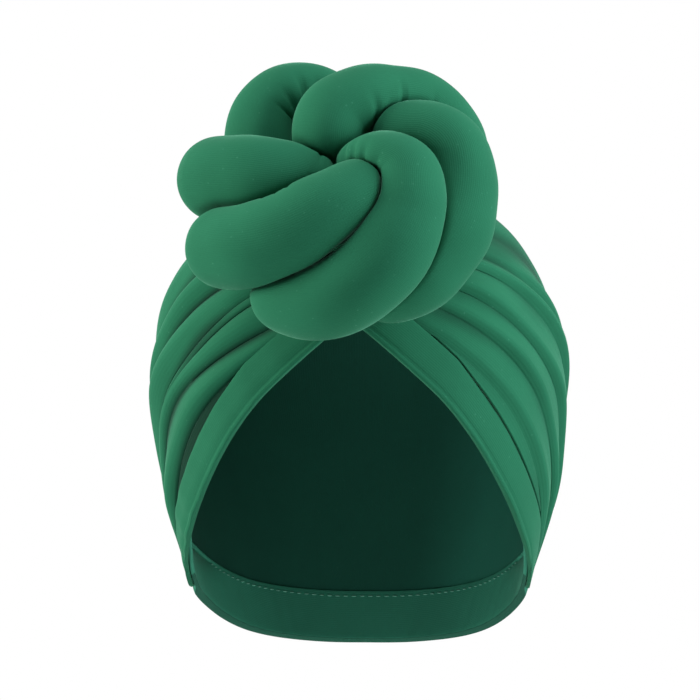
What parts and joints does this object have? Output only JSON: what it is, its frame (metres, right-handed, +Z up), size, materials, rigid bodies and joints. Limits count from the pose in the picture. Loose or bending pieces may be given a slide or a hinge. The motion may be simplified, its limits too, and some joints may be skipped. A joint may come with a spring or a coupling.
{
  "type": "turban headwrap",
  "caption": "Pre-tied jersey turban cap with gathered folds, turned front hems, lining, nape casing and a padded knot at the crown front.",
  "frame": {"origin": "inner crown of the lining, where the cap sits on a head", "axes": "+Z up, the face opening and the knot towards -Y, the wearer's left at +X"},
  "size_m": [0.1781, 0.2542, 0.2506],
  "materials": {
    "wrap_jersey": "matte knitted jersey, deep green",
    "lining_jersey": "matte knitted jersey, dark green"
  },
  "bodies": {
    "root": {"outer_wrap": "wrap_jersey", "lining": "lining_jersey", "front_hem_left": "wrap_jersey", "front_hem_right": "wrap_jersey", "nape_band": "wrap_jersey", "knot_roll_upper_left": "wrap_jersey", "knot_roll_lower_left": "wrap_jersey", "knot_roll_inner": "wrap_jersey", "knot_roll_outer": "wrap_jersey", "knot_roll_top": "wrap_jersey", "knot_roll_back": "wrap_jersey"}
  },
  "joints": []
}
